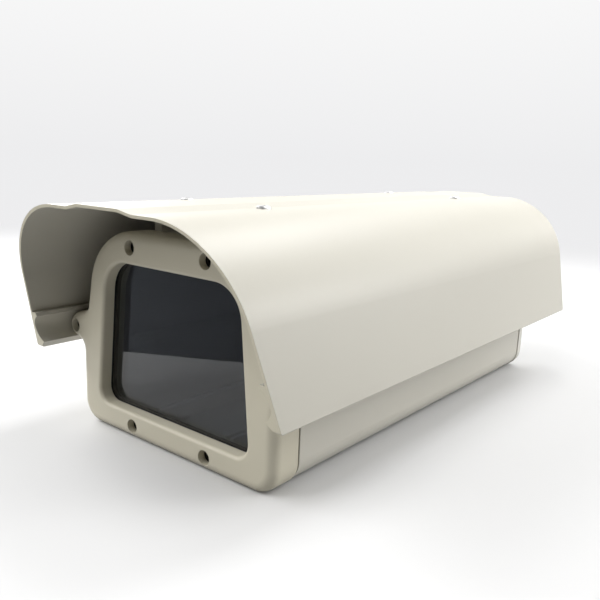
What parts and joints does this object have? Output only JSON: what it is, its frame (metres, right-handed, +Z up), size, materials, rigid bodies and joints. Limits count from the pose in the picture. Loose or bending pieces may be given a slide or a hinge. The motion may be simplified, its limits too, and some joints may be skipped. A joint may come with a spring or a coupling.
{
  "type": "security camera housing",
  "caption": "Outdoor camera housing with a flat window, a long curved sunshield, a camera tray inside and cable glands at the rear.",
  "frame": {"origin": "on the surface that the two covers stand on, under the middle of the sunshield's length and width", "axes": "+Z up, +Y from the window towards the cable glands, +X across"},
  "size_m": [0.1854, 0.365, 0.1305],
  "materials": {
    "shell_paint": "satin powder coat",
    "cover_paint": "satin powder coat",
    "shield_paint": "satin powder coat",
    "glass": "clear polished",
    "rubber": "matte",
    "frame_black": "matte black",
    "steel": "satin",
    "tray": "plain mill",
    "brass": "plain",
    "knob": "matte",
    "gland_plastic": "matte"
  },
  "bodies": {
    "housing": {"housing_shell": "shell_paint", "front_bezel": "cover_paint", "rear_cover": "cover_paint", "sunshield": "shield_paint", "window_glass": "glass", "window_gasket": "rubber", "front_seal": "rubber", "rear_seal": "rubber", "gland_washers": "rubber", "gland_inserts": "rubber", "glass_frame": "frame_black", "glass_frame_screws": "steel", "bezel_screws": "steel", "rear_screws": "steel", "shield_screws": "steel", "bracket_nuts": "steel", "gland_bodies": "gland_plastic", "gland_locknuts": "gland_plastic", "gland_caps": "gland_plastic", "tray_lock_nut": "brass"},
    "tray": {"camera_tray": "tray", "camera_screw": "steel", "camera_screw_washer": "steel"},
    "lock": {"tray_lock_screw": "steel", "tray_lock_knob": "knob"}
  },
  "joints": [
    {"name": "tray_slide", "type": "slide", "parent": "housing", "child": "tray", "axis": [0, 1, 0], "range_m": [-0.017, 0.013]},
    {"name": "lock_turn", "type": "hinge", "parent": "housing", "child": "lock", "pos_m": [0, 0.0987, 0.012], "axis": [0, 0, 1], "range_deg": [0, 360]}
  ]
}
